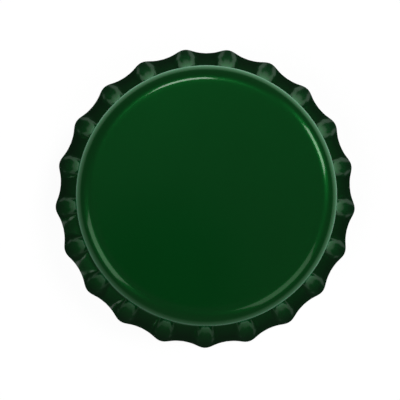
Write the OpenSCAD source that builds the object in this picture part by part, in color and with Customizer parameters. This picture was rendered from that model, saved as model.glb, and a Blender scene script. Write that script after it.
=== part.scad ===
// Crown bottle cap, as it is before it is crimped onto a bottle.
// One pressed sheet shell with a fluted skirt, and one moulded sealing liner inside it.
// The teeth stand on z = 0, the flat panel faces +Z, and a tooth points along +X.

/* [Crown] */
// Height from the tooth tips to the top of the panel
crown_h = 6; // [5.6:0.1:6.6]
// Inside diameter of the plain collar, which passes over the bottle's mouth
collar_inner_d = 26.75; // [26.5:0.05:27]
// Thickness of the sheet
sheet_t = 0.24; // [0.2:0.01:0.28]
// Outside radius of the shoulder between the panel and the collar
shoulder_r = 1.8; // [1.5:0.1:2]

/* [Flutes] */
// Number of teeth around the skirt
teeth = 21; // [19:1:24]
// How far the tooth tips stand out from the collar
tip_flare = 2.43; // [2.2:0.005:2.6]
// How far the valley floors stand out from the collar at the lip
valley_flare = 1.91; // [1.8:0.005:2.1]
// Slope of a tooth's crest at the lip, from level
crest_lip_angle = 38.5; // [36:0.5:41]
// Slope of a valley's floor at the lip, from level
valley_lip_angle = 30; // [27:1:33]
// Sharpness of the bend from the collar into a tooth's crest
crest_bend = 2.9; // [2.6:0.1:3.4]
// Sharpness of the bend from the collar into a valley's floor
valley_bend = 5; // [4.4:0.1:5.4]
// Width of a tooth where it leaves the collar, as a share of the pitch
tooth_root_share = 0.24; // [0.22:0.01:0.28]
// Greatest width of a tooth, as a share of the pitch
tooth_full_share = 0.43; // [0.39:0.01:0.48]
// Width of a tooth at the lip, as a share of the pitch
tooth_lip_share = 0.41; // [0.36:0.01:0.44]

/* [Liner] */
// Thickness of the thin web that is bonded to the panel
liner_web_t = 0.22; // [0.16:0.01:0.3]
// Thickness of the land between the two sealing beads
liner_land_t = 0.55; // [0.4:0.05:0.65]
// Gap between the side of the outer sealing bead and the collar's wall
outer_bead_gap = 0.82; // [0.78:0.02:1]
// Width of the outer sealing bead
outer_bead_w = 1.1; // [0.9:0.05:1.2]
// How far the outer sealing bead stands below the panel
outer_bead_h = 1.05; // [0.95:0.05:1.2]
// Distance between the middles of the two sealing beads
bead_spacing = 1.7; // [1.4:0.05:2]
// Width of the inner sealing bead
inner_bead_w = 0.9; // [0.7:0.05:1]
// How far the inner sealing bead stands below the panel
inner_bead_h = 0.8; // [0.7:0.05:0.9]
// Clearance between the outer bead and the inside of the shoulder
liner_clearance = 0.04; // [0.02:0.01:0.08]

/* [Hidden] */
$fn = 128;

pitch = 360 / teeth;
collar_inner_r = collar_inner_d / 2;
collar_r = collar_inner_r + sheet_t;
panel_r = collar_r - shoulder_r;
collar_top_z = crown_h - shoulder_r;
panel_under_z = crown_h - sheet_t;

// The fluted skin starts just under the shoulder, just inside the collar's wall,
// and comes out of the wall lower down.
flute_drop = 0.1;
flute_bury = 0.02;
flute_top_z = collar_top_z - flute_drop;
flute_r = collar_r - flute_bury;
flute_top = [flute_r, flute_top_z];

// Crest and valley profiles: the [radius, height] of the lip, and of the corner where the
// line of the flare meets the line of the collar, then the sharpness of the bend between them
function profile(flare, slope, bend) =
    let (lip = [collar_r + flare, sheet_t * cos(slope)])
    [lip, [flute_r, lip.y + (lip.x - flute_r) * tan(slope)], bend];
crest = profile(tip_flare, crest_lip_angle, crest_bend);
valley = profile(valley_flare, valley_lip_angle, valley_bend);

// Point of a profile at u, from 0 at the top of the flutes to 1 at the lip
function down_profile(p, u) =
    p[1] + (flute_top - p[1]) * max(0, 1 - u) ^ p[2] + (p[0] - p[1]) * max(0, u) ^ p[2];

// The plain collar ends out of sight inside the fluted skin, this far down the valleys.
collar_lap = 0.47;
collar_end_z = down_profile(valley, collar_lap).y;

// Tooth half widths in degrees: at the root, at the widest, and at the lip
root_half = pitch * tooth_root_share / 2;
full_half = pitch * tooth_full_share / 2;
lip_half = pitch * tooth_lip_share / 2;
// Where along the skin the tooth is widest, and how late it widens on the way there
widest_at = 0.88;
widen_bend = 3;
// Squareness of a tooth's section at the root, where it is squarest, and at the lip
root_square = 4;
full_square = 6;
lip_square = 2;
squarest_at = 0.8;

// Grid of the fluted skin: rows down it, and columns across each tooth and valley
rows = 9;
columns = 12;
column_crowding = 0.03;
// How far down the skin the inner face runs past the lip, as a share of the skin
lip_overrun = 0.02;
// A height below everything
below_all_z = -1;
// Steps down the skin, close together near the lip
row_steps = [for (i = [0:rows]) sin(90 * i / rows)];
column_steps = [for (i = [0:teeth * columns - 1]) i / columns];

function mix(a, b, t) = a + (b - a) * t;
function unit(v) = v / norm(v);

// Share of the way from the valley floor to the crest, at angle a and at u down the skin
function folded(a) = abs(a - pitch * round(a / pitch));
function half_width(u) = u < widest_at
    ? mix(root_half, full_half, max(0, u / widest_at) ^ widen_bend)
    : mix(full_half, lip_half, (u - widest_at) / (1 - widest_at));
function squareness(u) = u < squarest_at
    ? mix(root_square, full_square, u / squarest_at)
    : mix(full_square, lip_square, (u - squarest_at) / (1 - squarest_at));
function tooth_share(u, a) = exp(-ln(2) * (folded(a) / half_width(u)) ^ squareness(u));

// Outer skin of the skirt, its outward normal, and the skin a given depth below it
function skin(u, a) =
    let (p = mix(down_profile(valley, u), down_profile(crest, u), tooth_share(u, a)))
    [p.x * cos(a), p.x * sin(a), p.y];
function outward(u, a) =
    let (da = 0.05, du = 0.005)
    unit(cross(
        skin(u + du, a) - skin(u - du, a),
        skin(u, a + da) - skin(u, a - da)
    ));
function below_skin(u, a, depth) = skin(u, a) - depth * outward(u, a);

// Angle of a column, crowded towards the flanks of each tooth
function column_angle(s) = pitch * (s + column_crowding * sin(720 * s));

// Solid body inside a stack of rings, closed by a point on the axis above and below
module ring_stack(rings, top_z, bottom_z) {
    ring_size = len(rings[0]);
    last = len(rings) - 1;
    top_point = len(rings) * ring_size;
    bottom_point = top_point + 1;
    points = [for (ring = rings) each ring, [0, 0, top_z], [0, 0, bottom_z]];
    walls = [for (j = [0:last - 1], i = [0:ring_size - 1])
        let (k = (i + 1) % ring_size, up = j * ring_size, dn = up + ring_size)
        each [[up + i, dn + k, dn + i], [up + i, up + k, dn + k]]];
    lids = [for (i = [0:ring_size - 1])
        let (k = (i + 1) % ring_size, dn = last * ring_size)
        each [[top_point, k, i], [bottom_point, dn + i, dn + k]]];
    polyhedron(points, concat(walls, lids), convexity = 6);
}

// One ring of points around the skirt, at u down the skin and at a depth below it
function skirt_ring(u, depth) = [for (s = column_steps) below_skin(u, column_angle(s), depth)];

crown_shell_color = [0.05, 0.23, 0.09];
sealing_liner_color = [0.86, 0.86, 0.83];

// Panel, shoulder and collar as one turned body, drawn in a little by depth
module turned_body(depth) {
    rotate_extrude() {
        intersection() {
            translate([panel_r, collar_top_z]) circle(shoulder_r - depth);
            translate([panel_r, collar_top_z]) square(shoulder_r);
        }
        translate([0, collar_top_z]) square([panel_r, shoulder_r - depth]);
        translate([0, collar_end_z]) square([collar_r - depth, collar_top_z - collar_end_z]);
    }
}

// Body within the outer skin, with a square cut edge that runs in past the sheet's inner face
module outer_skirt() {
    rings = [for (u = row_steps) skirt_ring(u, 0)];
    ring_stack(concat(rings, [skirt_ring(1, 2 * sheet_t)]), flute_top_z, below_all_z / 2);
}

// Body within the inner skin, which runs on past the lip and then straight down
module inner_skirt() {
    rings = [for (i = [0:rows - 1]) skirt_ring(row_steps[i], sheet_t)];
    lip_ring = skirt_ring(1 + lip_overrun, sheet_t);
    low_ring = [for (p = lip_ring) [p.x, p.y, below_all_z]];
    ring_stack(concat(rings, [lip_ring, low_ring]), flute_top_z, 2 * below_all_z);
}

// Pressed sheet: the outer body less the inner body
module crown_shell() {
    color(crown_shell_color) difference() {
        union() {
            turned_body(0);
            outer_skirt();
        }
        union() {
            turned_body(sheet_t);
            inner_skirt();
        }
    }
}

// Section of one round-edged bead that stands h below the panel's underside
module bead_section(mid_r, w, h) {
    round_z = panel_under_z - h + w / 2;
    translate([mid_r, round_z]) circle(w / 2);
    translate([mid_r - w / 2, round_z]) square([w, shoulder_r]);
}

// Section of the room under the panel and inside the shoulder that compound can fill
module room_section() {
    square([panel_r, panel_under_z]);
    translate([panel_r, collar_top_z]) circle(shoulder_r - sheet_t - liner_clearance);
}

// Moulded liner: a thin web, two sealing beads and the land between them
module sealing_liner() {
    outer_mid_r = collar_inner_r - outer_bead_gap - outer_bead_w / 2;
    inner_mid_r = outer_mid_r - bead_spacing;
    color(sealing_liner_color) rotate_extrude() intersection() {
        union() {
            translate([0, panel_under_z - liner_web_t]) square([outer_mid_r, liner_web_t]);
            translate([inner_mid_r, panel_under_z - liner_land_t])
                square([bead_spacing, liner_land_t]);
            bead_section(inner_mid_r, inner_bead_w, inner_bead_h);
            bead_section(outer_mid_r, outer_bead_w, outer_bead_h);
        }
        room_section();
    }
}

crown_shell();
sealing_liner();
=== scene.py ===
import math

import bmesh
import bpy
from mathutils import Matrix, Vector


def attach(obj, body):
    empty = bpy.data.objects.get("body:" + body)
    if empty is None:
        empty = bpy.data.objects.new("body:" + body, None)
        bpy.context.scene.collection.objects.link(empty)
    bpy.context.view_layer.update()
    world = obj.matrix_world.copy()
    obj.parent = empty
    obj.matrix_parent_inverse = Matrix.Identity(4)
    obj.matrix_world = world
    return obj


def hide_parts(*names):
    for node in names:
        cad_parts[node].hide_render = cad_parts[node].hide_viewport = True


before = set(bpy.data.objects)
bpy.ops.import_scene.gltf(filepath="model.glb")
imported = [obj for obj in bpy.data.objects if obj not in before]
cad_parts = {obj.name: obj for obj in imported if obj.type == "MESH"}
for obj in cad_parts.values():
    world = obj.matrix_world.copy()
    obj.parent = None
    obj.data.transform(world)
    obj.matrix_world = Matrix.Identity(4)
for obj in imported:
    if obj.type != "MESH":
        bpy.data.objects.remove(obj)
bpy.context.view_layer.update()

mm = 0.001
hair = 0.001 * mm  # points closer together than this are one point
match = 0.0001 * mm  # how near a point has to be to the place where it is looked for
matchTurn = 0.001  # and to the direction, in radians
print("frame loaded")


# working in edit mode

def clearSelection():
    if bpy.context.object and bpy.context.object.mode == "EDIT":
        bpy.ops.object.mode_set(mode="OBJECT")
    bpy.ops.object.select_all(action="DESELECT")


def startPoint(name, place):
    # a plane merged to its centre gives the single point that a section is drawn from
    clearSelection()
    bpy.ops.mesh.primitive_plane_add(size=mm, location=(0, 0, 0))
    piece = bpy.context.object
    piece.name = name
    piece.data.name = name
    bpy.ops.object.mode_set(mode="EDIT")
    bpy.ops.mesh.select_mode(type="VERT")
    bpy.ops.mesh.select_all(action="SELECT")
    bpy.ops.mesh.merge(type="CENTER")
    bpy.ops.transform.translate(value=place)
    return piece


def drawSection(points):
    # extrudes the selected point from each place in the list to the next
    for here, there in zip(points, points[1:]):
        step = Vector(there) - Vector(here)
        bpy.ops.mesh.extrude_region_move(TRANSFORM_OT_translate={"value": step})


def pick(test):
    # selects the vertices that pass the test, and says how many there are
    mesh = bmesh.from_edit_mesh(bpy.context.object.data)
    found = 0
    for vert in mesh.verts:
        vert.select_set(bool(test(vert.co)))
        found += vert.select
    mesh.select_flush(True)
    bmesh.update_edit_mesh(bpy.context.object.data)
    return found


def pickEdges(test):
    # selects the edges whose two ends both pass the test
    bpy.ops.mesh.select_mode(type="EDGE")
    mesh = bmesh.from_edit_mesh(bpy.context.object.data)
    for edge in mesh.edges:
        edge.select_set(all(test(vert.co) for vert in edge.verts))
    bmesh.update_edit_mesh(bpy.context.object.data)


def keepRound():
    # of the selected edges, keeps those that run round the axis
    mesh = bmesh.from_edit_mesh(bpy.context.object.data)
    for edge in mesh.edges:
        near, far = (vert.co.xy.length for vert in edge.verts)
        if abs(near - far) > hair:
            edge.select_set(False)
    bmesh.update_edit_mesh(bpy.context.object.data)


def closeUp():
    # welds the doubles and turns the faces outwards
    bpy.ops.mesh.select_mode(type="VERT")
    bpy.ops.mesh.select_all(action="SELECT")
    bpy.ops.mesh.remove_doubles(threshold=hair)
    bpy.ops.mesh.normals_make_consistent(inside=False)


def roundEdges(size, steps):
    bpy.ops.mesh.bevel(offset=size, segments=steps, profile=0.5, affect="EDGES")


def useModifier(piece, kind, **settings):
    modifier = piece.modifiers.new(kind.title(), kind)
    for setting, value in settings.items():
        setattr(modifier, setting, value)
    bpy.ops.object.modifier_apply(modifier=modifier.name)


# shader maths

class Wire:
    # a node's output that can be used in sums

    def __init__(self, paint, socket):
        self.paint = paint
        self.socket = socket

    def sum(self, operation, other):
        return self.paint.node("ShaderNodeMath", {"operation": operation}, {0: self, 1: other})

    def __add__(self, other):
        return self.sum("ADD", other)

    def __mul__(self, other):
        return self.sum("MULTIPLY", other)

    __radd__ = __add__
    __rmul__ = __mul__


class Paint:
    # the nodes of one material, or of the world

    def __init__(self, owner):
        owner.use_nodes = True
        self.tree = owner.node_tree
        self.tree.nodes.clear()

    def node(self, kind, settings=None, sockets=None, out=0):
        made = self.tree.nodes.new(kind)
        for setting, value in (settings or {}).items():
            setattr(made, setting, value)
        for socket, value in (sockets or {}).items():
            if isinstance(value, Wire):
                self.tree.links.new(value.socket, made.inputs[socket])
            else:
                made.inputs[socket].default_value = value
        return Wire(self, made.outputs[out]) if made.outputs else None

    def place(self, stretch=(1, 1, 1)):
        # the object's own coordinates in millimetres
        spot = self.node("ShaderNodeTexCoord", out="Object")
        size = [part / mm for part in stretch]
        return self.node("ShaderNodeMapping", {}, {"Vector": spot, "Scale": size})

    def noise(self, scale, detail, roughness=0.5, stretch=(1, 1, 1)):
        return self.node("ShaderNodeTexNoise", {"noise_dimensions": "3D"}, {
            "Vector": self.place(stretch),
            "Scale": scale,
            "Detail": detail,
            "Roughness": roughness,
        })

    def spread(self, value, low, high, newLow=0.0, newHigh=1.0):
        return self.node("ShaderNodeMapRange", {"clamp": True}, {
            0: value, 1: low, 2: high, 3: newLow, 4: newHigh})

    def patches(self, softness, settings):
        # noise drawn out to the whole of 0 to 1, with edges of the given softness
        return self.spread(self.noise(*settings), 0.5 - softness, 0.5 + softness)

    def blend(self, share, first, second):
        return self.node("ShaderNodeMix", {"data_type": "RGBA"}, {
            0: share, 6: first, 7: second}, out=2)

    def bump(self, height, distance, strength=1.0):
        return self.node("ShaderNodeBump", {}, {
            "Height": height, "Distance": distance, "Strength": strength})

    def surface(self, **sockets):
        names = {name.replace("_", " "): value for name, value in sockets.items()}
        return self.node("ShaderNodeBsdfPrincipled", {}, names)

    def finish(self, shader, kind="ShaderNodeOutputMaterial"):
        self.node(kind, {}, {"Surface": shader})


def colour(red, green, blue):
    return (red, green, blue, 1.0)


def newPaint(name):
    material = bpy.data.materials.new(name)
    return material, Paint(material)


# the paints

# a noise is written as its scale per mm, its detail, and where needed its roughness and stretch

lacquerValues = {
    "green": (0.0009, 0.0722, 0.0101),
    "deepGreen": (0.0007, 0.0675, 0.0091),
    # painted shade: a darker green that stands in for the shade low on the skirt
    "shadedFluteGreen": (0.0006, 0.0227, 0.0041),
    "fluteShadeFull": 0.5,  # all painted shade green up to this height in mm
    "fluteShadeEnd": 1.75,  # and none of it from this height
    "pools": (0.12, 2.0),
    "poolSoftness": 0.15,
    "grain": (2.5, 4.0, 0.6),
    "grainSoftness": 0.2,
    "grainShare": 0.3,  # the rest of the change in tone comes from the pools
    "grainDullness": 0.06,
    "peel": (0.9, 2.0),
    "peelDepth": 0.001 * mm,
    "metalness": 0.58,
    "dullness": 0.285,
    "slantGreen": (0.43, 1.0, 0.68),  # tint of the metal's shine at a low slant
    "coat": 0.39,
    "coatDullness": 0.085,
}


def greenLacquer(values):
    # a green lacquer over tinplate: the metal glows dully through it, under a thin glossy coat
    material, paint = newPaint("greenLacquer")
    pools = paint.patches(values["poolSoftness"], values["pools"])
    grain = paint.patches(values["grainSoftness"], values["grain"])
    tone = pools * (1 - values["grainShare"]) + grain * values["grainShare"]
    base = paint.blend(tone, colour(*values["green"]), colour(*values["deepGreen"]))
    # painted shade: the lacquer's green is painted darker low on the skirt, in the flutes, where
    # shade falls
    height = paint.node("ShaderNodeSeparateXYZ", {}, {0: paint.place()}, out=2)
    outOfShade = paint.spread(height, values["fluteShadeFull"], values["fluteShadeEnd"])
    base = paint.blend(outOfShade, colour(*values["shadedFluteGreen"]), base)
    skin = paint.surface(
        Base_Color=base,
        Metallic=values["metalness"],
        Roughness=values["dullness"] + grain * values["grainDullness"],
        Specular_IOR_Level=0.0,
        Specular_Tint=colour(*values["slantGreen"]),
        Coat_Weight=values["coat"],
        Coat_Roughness=values["coatDullness"],
        Normal=paint.bump(paint.noise(*values["peel"]), values["peelDepth"]),
    )
    paint.finish(skin)
    return material


tinValues = {
    "tin": (0.52, 0.50, 0.45),
    "warmTin": (0.50, 0.45, 0.36),
    "clouds": (0.25, 2.0),
    "cloudSoftness": 0.15,
    "lines": (1.6, 4.0, 0.65, (1, 14, 14)),
    "lineDepth": 0.002 * mm,
    "lineStrength": 0.6,
    "lineDullness": 0.12,
    "dullness": 0.24,
    "coat": 0.6,
    "coatDullness": 0.12,
}


def tinLacquer(values):
    # tinplate under a thin clear lacquer, with the fine lines of the rolling
    material, paint = newPaint("tinLacquer")
    lines = paint.noise(*values["lines"])
    clouds = paint.patches(values["cloudSoftness"], values["clouds"])
    skin = paint.surface(
        Base_Color=paint.blend(clouds, colour(*values["tin"]), colour(*values["warmTin"])),
        Metallic=1.0,
        Roughness=values["dullness"] + lines * values["lineDullness"],
        Coat_Weight=values["coat"],
        Coat_Roughness=values["coatDullness"],
        Normal=paint.bump(lines, values["lineDepth"], values["lineStrength"]),
    )
    paint.finish(skin)
    return material


edgeValues = {
    "steel": (0.42, 0.42, 0.41),
    "darkSteel": (0.16, 0.16, 0.15),
    "tears": (1.5, 4.0, 0.7, (1, 1, 4)),
    "tearSoftness": 0.1,
    "tearDepth": 0.004 * mm,
    "tearStrength": 0.5,
    "tearDullness": 0.25,
    "dullness": 0.32,
}


def cutEdge(values):
    # sheared steel, part bright and part torn
    material, paint = newPaint("cutEdge")
    tears = paint.patches(values["tearSoftness"], values["tears"])
    skin = paint.surface(
        Base_Color=paint.blend(tears, colour(*values["steel"]), colour(*values["darkSteel"])),
        Metallic=1.0,
        Roughness=values["dullness"] + tears * values["tearDullness"],
        Normal=paint.bump(tears, values["tearDepth"], values["tearStrength"]),
    )
    paint.finish(skin)
    return material


compoundValues = {
    "white": (0.74, 0.74, 0.70),
    "cream": (0.68, 0.67, 0.60),
    "clouds": (0.22, 3.0),
    "cloudSoftness": 0.15,
    "grain": (7.0, 3.0, 0.6),
    "grainDepth": 0.003 * mm,
    "grainStrength": 0.5,
    "grainDullness": 0.14,
    "dullness": 0.34,
    "glow": 0.15,  # share of the light that goes in and comes out again
    "glowReach": (0.4 * mm, 0.35 * mm, 0.25 * mm),
}


def linerCompound(values):
    # soft moulded compound with a faint cloud and a fine matt grain
    material, paint = newPaint("linerCompound")
    clouds = paint.patches(values["cloudSoftness"], values["clouds"])
    grain = paint.noise(*values["grain"])
    skin = paint.surface(
        Base_Color=paint.blend(clouds, colour(*values["white"]), colour(*values["cream"])),
        Roughness=values["dullness"] + grain * values["grainDullness"],
        Subsurface_Weight=values["glow"],
        Subsurface_Radius=values["glowReach"],
        Subsurface_Scale=1.0,
        Normal=paint.bump(grain, values["grainDepth"], values["grainStrength"]),
    )
    paint.finish(skin)
    return material


# the pressed shell

capShell = {
    "teeth": 21,
    "crownHigh": 6.0 * mm,
    "collarInside": 26.75 * mm,
    "sheet": 0.24 * mm,
    "shoulderRound": 1.8 * mm,
    "tipFlare": 2.43 * mm,
    "valleyFlare": 1.91 * mm,
    "crestLipAngle": 38.5,
    "valleyLipAngle": 30,
    "crestBend": 2.9,
    "valleyBend": 5.0,
    "rootShare": 0.24,
    "fullShare": 0.43,
    "lipShare": 0.41,
    "widestAt": 0.88,
    "widenBend": 3.0,
    "rootSquare": 4.0,
    "fullSquare": 6.0,
    "lipSquare": 2.0,
    "squarestAt": 0.8,
    "fluteDrop": 0.1 * mm,
    "panelEdge": 1.25,  # the panel's last ring, in shoulder radii from the collar's face
    "shoulderSteps": 14,
    "skirtSteps": 22,
    "toothSteps": 24,  # round one tooth and one valley
    "lipRound": 0.04 * mm,
    "lipSharp": 55,  # only the cut edge has corners sharper than this
    "roundSteps": 3,
    "smoothBelow": 50,
}


def between(first, second, share):
    return first + (second - first) * share


def smoothLine(line, share):
    # down the collar, round the bend and out along the flare
    top, corner, lip, power = line
    return corner + (top - corner) * (1 - share) ** power + (lip - corner) * share ** power


def skirtLines(cap):
    # top, corner and lip of the crest and the valley, as radius and height
    collar = cap["collarInside"] / 2 + cap["sheet"]
    top = cap["crownHigh"] - cap["shoulderRound"] - cap["fluteDrop"]

    def line(flare, slope, bend):
        turn = math.radians(slope)
        lip = Vector((collar + flare, cap["sheet"] * math.cos(turn)))
        corner = Vector((collar, lip.y + flare * math.tan(turn)))
        return Vector((collar, top)), corner, lip, bend

    return (line(cap["tipFlare"], cap["crestLipAngle"], cap["crestBend"]),
            line(cap["valleyFlare"], cap["valleyLipAngle"], cap["valleyBend"]))


def toothShare(cap, down, turn):
    # how far the skin has risen from valley to crest, at a turn in degrees from the crest
    pitch = 360 / cap["teeth"]
    root, full, lip = (pitch * cap[part] / 2 for part in ("rootShare", "fullShare", "lipShare"))
    if down < cap["widestAt"]:
        half = between(root, full, (down / cap["widestAt"]) ** cap["widenBend"])
    else:
        half = between(full, lip, (down - cap["widestAt"]) / (1 - cap["widestAt"]))
    if down < cap["squarestAt"]:
        square = between(cap["rootSquare"], cap["fullSquare"], down / cap["squarestAt"])
    else:
        square = between(cap["fullSquare"], cap["lipSquare"],
                         (down - cap["squarestAt"]) / (1 - cap["squarestAt"]))
    return 0.5 ** ((turn / half) ** square)


def valleySection(cap, valley):
    # from the middle of the panel, over the shoulder and down a valley to the lip
    collar = cap["collarInside"] / 2 + cap["sheet"]
    bend = cap["shoulderRound"]
    panelRings = (0, collar / 2, collar - cap["panelEdge"] * bend)
    points = [(radius, cap["crownHigh"]) for radius in panelRings]
    for step in range(cap["shoulderSteps"] + 1):
        turn = math.radians(90 * step / cap["shoulderSteps"])
        points.append((collar - bend + bend * math.sin(turn),
                       cap["crownHigh"] - bend + bend * math.cos(turn)))
    steps = [math.sin(math.radians(90 * step / cap["skirtSteps"]))
             for step in range(cap["skirtSteps"] + 1)]
    points += [tuple(smoothLine(valley, down)) for down in steps]
    return [(radius, 0, high) for radius, high in points], steps


def raiseCrest(cap, crest, valley, steps):
    # moves the columns of one flute out and up from the valley, row by row
    pitch = 360 / cap["teeth"]
    middle = cap["toothSteps"] // 2
    for down in steps[1:]:
        low, high = smoothLine(valley, down), smoothLine(crest, down)
        for column in range(1, middle + 1):
            # columns in order from the valley to the crest
            turn = math.radians(pitch * column / cap["toothSteps"])
            other = math.radians(pitch) - turn

            def atColumn(spot):
                if abs(spot.z - low.y) > match or abs(spot.xy.length - low.x) > match:
                    return False
                here = math.atan2(spot.y, spot.x)
                return min(abs(here - turn), abs(here - other)) < matchTurn

            if not pick(atColumn):
                continue
            share = toothShare(cap, down, pitch / 2 - math.degrees(turn))
            target = low.lerp(high, share)
            grow = target.x / low.x
            bpy.ops.transform.resize(value=(grow, grow, 1), center_override=(0, 0, 0))
            bpy.ops.transform.translate(value=(0, 0, target.y - low.y))


def makeShell(cap):
    pitch = 2 * math.pi / cap["teeth"]
    crest, valley = skirtLines(cap)
    section, steps = valleySection(cap, valley)
    piece = startPoint("pressedShell", section[0])
    drawSection(section)

    # one flute: the section is spun through a pitch, then the crest is raised
    bpy.ops.mesh.select_all(action="SELECT")
    bpy.ops.mesh.spin(steps=cap["toothSteps"], angle=-pitch, center=(0, 0, 0), axis=(0, 0, 1))
    raiseCrest(cap, crest, valley, steps)

    # the flute is repeated round the axis, and turned so that a tooth points along +X
    bpy.ops.mesh.select_all(action="SELECT")
    bpy.ops.mesh.spin(steps=cap["teeth"] - 1, angle=pitch * (cap["teeth"] - 1),
                      center=(0, 0, 0), axis=(0, 0, 1), dupli=True)
    bpy.ops.mesh.select_all(action="SELECT")
    bpy.ops.transform.rotate(value=pitch / 2, orient_axis="Z", center_override=(0, 0, 0))
    closeUp()
    bpy.ops.object.mode_set(mode="OBJECT")

    # the sheet's thickness goes inwards; the inner face and the cut edge have their own paints
    for paint in (greenLacquer(lacquerValues), tinLacquer(tinValues), cutEdge(edgeValues)):
        piece.data.materials.append(paint)
    useModifier(piece, "SOLIDIFY", thickness=cap["sheet"], offset=-1, use_even_offset=True,
                use_rim=True, material_offset=1, material_offset_rim=2)

    # the two corners of the cut edge are eased
    bpy.ops.object.mode_set(mode="EDIT")
    bpy.ops.mesh.select_mode(type="EDGE")
    bpy.ops.mesh.select_all(action="DESELECT")
    bpy.ops.mesh.edges_select_sharp(sharpness=math.radians(cap["lipSharp"]))
    roundEdges(cap["lipRound"], cap["roundSteps"])
    bpy.ops.object.mode_set(mode="OBJECT")
    bpy.ops.object.shade_smooth_by_angle(angle=math.radians(cap["smoothBelow"]))
    return piece


# the moulded liner

capLiner = {
    "web": 0.22 * mm,
    "land": 0.55 * mm,
    "outerBeadGap": 0.82 * mm,
    "outerBeadWide": 1.1 * mm,
    "outerBeadHigh": 1.05 * mm,
    "innerBeadWide": 0.9 * mm,
    "innerBeadHigh": 0.8 * mm,
    "beadSpacing": 1.7 * mm,
    "clearance": 0.04 * mm,
    "beadSteps": 10,
    "sideSteps": 4,
    "turnSteps": 180,
    "rootRound": 0.12 * mm,
    "roundSteps": 3,
    "smoothBelow": 40,
}


def beadSection(middle, wide, lowest, steps):
    # the round underside of one bead, from its inner side to its outer side
    points = []
    for step in range(steps + 1):
        turn = math.pi * step / steps
        points.append((middle - wide / 2 * math.cos(turn),
                       lowest + wide / 2 * (1 - math.sin(turn))))
    return points


def linerSection(cap, liner):
    # from the axis out along the underside, and back along the bonded top
    ceiling = cap["crownHigh"] - cap["sheet"]
    outer = cap["collarInside"] / 2 - liner["outerBeadGap"] - liner["outerBeadWide"] / 2
    inner = outer - liner["beadSpacing"]
    landHigh = ceiling - liner["land"]
    steps = liner["beadSteps"]
    innerBead = beadSection(inner, liner["innerBeadWide"], ceiling - liner["innerBeadHigh"], steps)
    outerBead = beadSection(outer, liner["outerBeadWide"], ceiling - liner["outerBeadHigh"], steps)
    points = [(0, ceiling - liner["web"])]
    points.append((inner - liner["innerBeadWide"] / 2, ceiling - liner["web"]))
    # between the beads the section stays below the land
    points += [spot for spot in innerBead if spot[0] < inner or spot[1] < landHigh]
    points.append((inner + liner["innerBeadWide"] / 2, landHigh))
    points.append((outer - liner["outerBeadWide"] / 2, landHigh))
    points += [spot for spot in outerBead if spot[0] > outer or spot[1] < landHigh]

    # the outer side meets the room under the shoulder, and follows its arc up to the panel
    bend = cap["shoulderRound"] - cap["sheet"] - liner["clearance"]
    panel = cap["collarInside"] / 2 + cap["sheet"] - cap["shoulderRound"]
    centre = cap["crownHigh"] - cap["shoulderRound"]
    side = outer + liner["outerBeadWide"] / 2
    start = math.asin((side - panel) / bend)
    for step in range(liner["sideSteps"] + 1):
        turn = start * (1 - step / liner["sideSteps"])
        points.append((panel + bend * math.sin(turn), centre + bend * math.cos(turn)))
    points.append((panel, ceiling))
    points.append((0, ceiling))
    return [(radius, 0, high) for radius, high in points]


def makeLiner(cap, liner):
    section = linerSection(cap, liner)
    piece = startPoint("sealingRing", section[0])
    drawSection(section)
    bpy.ops.mesh.select_all(action="SELECT")
    bpy.ops.mesh.spin(steps=liner["turnSteps"], angle=2 * math.pi, center=(0, 0, 0), axis=(0, 0, 1))
    closeUp()

    # the corners where the beads rise from the web and the land are filled a little
    ceiling = cap["crownHigh"] - cap["sheet"]
    flats = (ceiling - liner["web"], ceiling - liner["land"])
    pickEdges(lambda spot: min(abs(spot.z - flat) for flat in flats) < match)
    keepRound()
    roundEdges(liner["rootRound"], liner["roundSteps"])
    bpy.ops.object.mode_set(mode="OBJECT")
    piece.data.materials.append(linerCompound(compoundValues))
    bpy.ops.object.shade_smooth_by_angle(angle=math.radians(liner["smoothBelow"]))
    return piece


# the floor, the light and the camera

studio = {
    "turn": 4.533,  # the whole studio is turned this far round the cap, in degrees
    "floorSize": 3.0,
    "floorWhite": 1.0,
    "floorDim": 0.34,
    "brightSide": 65,  # the floor is painted white on this side and painted dim, as shade, on the other
    # painted light: the floor's painted light fades to this share further off
    "floorFar": 0.58,
    "farStart": 30 * mm,
    "farEnd": 70 * mm,
    "floorShine": 0.92,  # glow of the floor in what the metal mirrors
    "floorTone": 0.16,  # the floor's own grey, which takes the shadow
    "backdrop": 0.897,  # glow that makes the floor white to the camera, close to the cap
    "backdropFar": 1.0,
    "backdropStart": 50 * mm,
    "backdropEnd": 600 * mm,
    "sky": 0.165,
    "sides": 0.06,
    "sideEdge": (0.6, 0.95),  # how far across the sky the sides begin, and are full
    "lens": 0.25,  # what is left of the sky straight above
    "lensEdge": (0.9975, 0.9995),  # how high in the sky the patch begins, and is full
    "lamps": [
        # turn, rise, distance, size, watts
        (26, 46.5, 0.6, 0.16, 0.92),
        (96, 66.6, 0.6, 0.10, 0.48),
        (206, 43.2, 0.6, 0.29, 0.70),
        (316, 50.5, 0.6, 0.29, 0.45),
    ],
}


def spotAt(turn, rise, distance):
    turn, rise = math.radians(turn), math.radians(rise)
    across = distance * math.cos(rise)
    return Vector((across * math.cos(turn), across * math.sin(turn), distance * math.sin(rise)))


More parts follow.
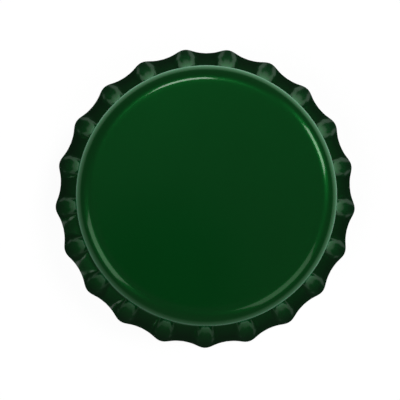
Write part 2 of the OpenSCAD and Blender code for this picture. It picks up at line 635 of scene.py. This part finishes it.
def makeFloor(values):
    clearSelection()
    bpy.ops.mesh.primitive_plane_add(size=values["floorSize"], location=(0, 0, 0))
    floor = bpy.context.object
    floor.name = "floor"
    material, paint = newPaint("floorWhite")
    seen = paint.node("ShaderNodeLightPath", out="Is Camera Ray")
    mirrored = paint.node("ShaderNodeLightPath", out="Is Glossy Ray")
    below = paint.node("ShaderNodeNewGeometry", out="Backfacing")
    spot = paint.node("ShaderNodeTexCoord", out="Object")
    outwards = paint.node("ShaderNodeVectorMath", {"operation": "NORMALIZE"}, {0: spot})
    away = paint.node("ShaderNodeVectorMath", {"operation": "LENGTH"}, {0: spot}, out="Value")

    # painted light: what lights the cap and shows in it is painted whiter close by and on the
    # bright side, and darker on the other side as painted shade
    brightSide = spotAt(values["brightSide"] + values["turn"], 0, 1)
    side = paint.node("ShaderNodeVectorMath", {"operation": "DOT_PRODUCT"}, {
        0: outwards, 1: brightSide}, out="Value")
    white = paint.spread(side, -1, 1, values["floorDim"], values["floorWhite"])
    near = paint.spread(away, values["farStart"], values["farEnd"], 1.0, values["floorFar"])
    paintedFloorLight = near * white

    # what the camera sees: an even white, most of it glow, and all of it where no lamp reaches
    tone = paint.node("ShaderNodeMix", {"data_type": "FLOAT"}, {
        0: seen, 2: paintedFloorLight, 3: values["floorTone"]})
    backdrop = paint.spread(away, values["backdropStart"], values["backdropEnd"],
                            values["backdrop"], values["backdropFar"])
    matt = paint.node("ShaderNodeBsdfDiffuse", {}, {"Color": tone})
    # painted reflection: the floor glows with its painted light in what the metal mirrors
    shine = mirrored * paintedFloorLight * values["floorShine"]
    glow = paint.node("ShaderNodeEmission", {}, {"Color": seen * backdrop + shine})
    lit = paint.node("ShaderNodeAddShader", {}, {0: matt, 1: glow})
    clear = paint.node("ShaderNodeBsdfTransparent")  # from below the floor isn't there
    paint.finish(paint.node("ShaderNodeMixShader", {}, {0: below, 1: lit, 2: clear}))
    floor.data.materials.append(material)


def makeWorld(values):
    world = bpy.data.worlds.new("studio")
    bpy.context.scene.world = world
    paint = Paint(world)
    seen = paint.node("ShaderNodeLightPath", out="Is Camera Ray")
    toward = paint.node("ShaderNodeTexCoord", out="Generated")
    rise = paint.node("ShaderNodeSeparateXYZ", {}, {0: toward}, out=2)
    across = paint.node("ShaderNodeMath", {"operation": "ABSOLUTE"}, {
        0: paint.node("ShaderNodeSeparateXYZ", {}, {0: toward}, out=1)})
    # the dark patch straight above is where a lens would be
    lens = paint.spread(rise, *values["lensEdge"], 1.0, values["lens"])
    sides = paint.spread(across, *values["sideEdge"], 0.0, values["sides"])
    sky = lens * values["sky"] + sides
    glow = paint.node("ShaderNodeBackground", {}, {"Color": paint.spread(seen, 0, 1, sky, 1.0)})
    paint.finish(glow, "ShaderNodeOutputWorld")


def makeLamps(values):
    for number, (turn, rise, distance, size, watts) in enumerate(values["lamps"]):
        spot = spotAt(turn + values["turn"], rise, distance)
        clearSelection()
        bpy.ops.object.light_add(type="AREA", location=spot)
        lamp = bpy.context.object
        lamp.name = "softbox" + str(number + 1)
        lamp.rotation_euler = spot.to_track_quat("Z", "Y").to_euler()
        lamp.data.shape = "SQUARE"
        lamp.data.size = size
        lamp.data.energy = watts


view = {
    "distance": 160 * mm,
    "lean": 3.62,  # degrees from straight above
    "leanTowards": 240.9,
    "aside": -0.592 * mm,
    "ahead": -0.276 * mm,
    "halfWidth": 21.402 * mm,  # half of what it sees across the floor under the cap
    "sensor": 36,
    "nearest": 10 * mm,
}


def makeCamera(values, turn):
    # the camera looks almost straight down, from a little to one side
    spot = spotAt(values["leanTowards"] + turn, 90 - values["lean"], values["distance"])
    right = Matrix.Rotation(math.radians(turn), 3, "Z") @ Vector((1, 0, 0))
    ahead = Matrix.Rotation(math.radians(turn), 3, "Z") @ Vector((0, 1, 0))
    target = right * values["aside"] + ahead * values["ahead"]
    back = (spot - target).normalized()
    side = ahead.cross(back).normalized()
    upward = back.cross(side)
    clearSelection()
    bpy.ops.object.camera_add(location=spot)
    camera = bpy.context.object
    camera.rotation_euler = Matrix((side, upward, back)).transposed().to_euler()
    camera.data.sensor_width = values["sensor"]
    camera.data.lens = values["sensor"] / 2 * values["distance"] / values["halfWidth"]
    camera.data.clip_start = values["nearest"]
    bpy.context.scene.camera = camera


# everything together

shell = makeShell(capShell)
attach(shell, "root")
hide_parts("crown_shell")
print("shell made")

liner = makeLiner(capShell, capLiner)
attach(liner, "root")
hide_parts("sealing_liner")
print("liner made")

makeFloor(studio)
makeWorld(studio)
makeLamps(studio)
makeCamera(view, studio["turn"])
bpy.context.scene.view_settings.view_transform = "Standard"
print("stage made")
